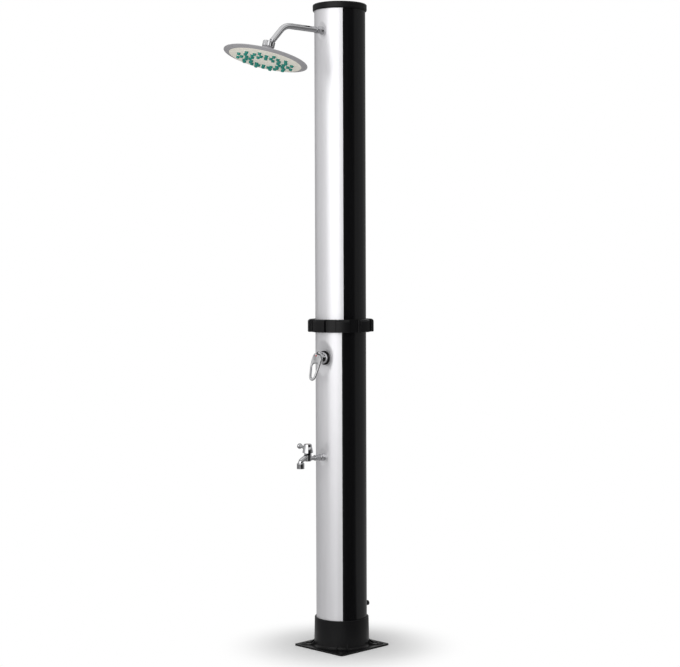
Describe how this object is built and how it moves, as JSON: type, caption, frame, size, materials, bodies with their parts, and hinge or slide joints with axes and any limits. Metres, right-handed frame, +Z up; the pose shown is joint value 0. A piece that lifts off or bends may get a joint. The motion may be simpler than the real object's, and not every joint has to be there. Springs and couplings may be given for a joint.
{
  "type": "outdoor shower post",
  "caption": "Upright round solar shower post on a square foot, with a tilting rain head on a bent arm, a lever mixer in a pressed recess and a foot tap.",
  "frame": {"origin": "on the post's axis, in the plane of the foot's underside, at the middle of the four anchor holes", "axes": "+Z up along the post; -Y towards the front, where the arm, mixer and foot tap are; +Y towards the rear hose inlet; +X to the right of someone who stands behind the post and looks to the front"},
  "size_m": [0.2573, 0.5584, 2.026],
  "materials": {
    "black_moulding": "satin moulded black",
    "black_pipe": "semi-gloss black",
    "silver_panel": "silver lacquer",
    "chromed_metal": "polished plate",
    "brass_fitting": "turned",
    "steel_hardware": "turned",
    "black_rubber": "smooth",
    "teal_rubber": "soft silicone",
    "white_plastic": "moulded",
    "white_ceramic": "ground",
    "grey_plastic": "satin grey",
    "cream_plastic": "fine moulded",
    "red_plastic": "glossy"
  },
  "bodies": {
    "post": {"foot_socket": "black_moulding", "bottom_plug": "black_moulding", "lower_tank": "black_pipe", "lower_front_panel": "silver_panel", "lower_union_ring": "black_moulding", "union_seal": "black_rubber", "upper_union_ring": "black_moulding", "collar_nut": "black_moulding", "upper_tank": "black_pipe", "upper_front_panel": "silver_panel", "top_plug": "black_moulding", "top_cap": "black_moulding", "hose_inlet": "black_moulding", "inlet_seal": "black_rubber", "inlet_outer_gasket": "black_rubber", "inlet_inner_gasket": "black_rubber", "wall_lock_nuts": "brass_fitting", "wall_gaskets": "black_rubber", "check_valve": "white_plastic", "feed_pipe": "white_plastic", "supply_elbow": "brass_fitting", "cold_pipes": "white_plastic", "tap_tee": "brass_fitting", "hot_pipes": "white_plastic", "riser_pipes": "white_plastic", "pipe_couplers": "white_plastic", "mixer_body": "brass_fitting", "mixer_gasket": "black_rubber", "mixer_ring": "black_moulding", "mixer_cartridge": "white_plastic", "mixer_cap": "chromed_metal", "arm_elbow": "brass_fitting", "arm_flange": "chromed_metal", "arm_nut": "chromed_metal", "shower_arm": "chromed_metal", "ball_stud": "chromed_metal", "tap_flange": "chromed_metal", "tap_body": "chromed_metal", "tap_outlet": "chromed_metal", "tap_aerator": "white_plastic", "tap_bonnet": "chromed_metal", "tap_fixed_disc": "white_ceramic"},
    "mixer_spindle": {"mixer_spindle": "brass_fitting", "lever_pin": "steel_hardware"},
    "mixer_lever": {"lever_stem": "steel_hardware", "mixer_lever": "chromed_metal", "lever_index": "red_plastic", "lever_screw": "steel_hardware"},
    "tap_handle": {"tap_spindle": "brass_fitting", "tap_moving_disc": "white_ceramic", "tap_handle": "chromed_metal", "tap_index": "red_plastic"},
    "swivel_ring": {"swivel_ring": "white_plastic"},
    "swivel_cup": {"seat_washer": "black_rubber"},
    "shower_head": {"swivel_nut": "chromed_metal", "head_shell": "grey_plastic", "face_plate": "cream_plastic", "nozzle_mat": "teal_rubber"}
  },
  "joints": [
    {"name": "mixer_turn", "type": "hinge", "parent": "post", "child": "mixer_spindle", "pos_m": [0, -0.082, 0.916], "axis": [0, -1, 0], "range_deg": [-45, 45]},
    {"name": "mixer_lift", "type": "hinge", "parent": "mixer_spindle", "child": "mixer_lever", "pos_m": [0, -0.082, 0.916], "axis": [-1, 0, 0], "range_deg": [0, 20]},
    {"name": "tap_turn", "type": "hinge", "parent": "post", "child": "tap_handle", "pos_m": [0, -0.146, 0.64], "axis": [0, 0, 1], "range_deg": [0, 90]},
    {"name": "head_pitch", "type": "hinge", "parent": "post", "child": "swivel_ring", "pos_m": [0, -0.30388, 1.86512], "axis": [-1, 0, 0], "range_deg": [0, 60]},
    {"name": "head_sway", "type": "hinge", "parent": "swivel_ring", "child": "swivel_cup", "pos_m": [0, -0.30388, 1.86512], "axis": [0, -0.9703, 0.2417], "range_deg": [-10, 17]},
    {"name": "head_spin", "type": "hinge", "parent": "swivel_cup", "child": "shower_head", "pos_m": [0, -0.30388, 1.86512], "axis": [0.0602, 0.2413, 0.9686], "continuous": true}
  ]
}
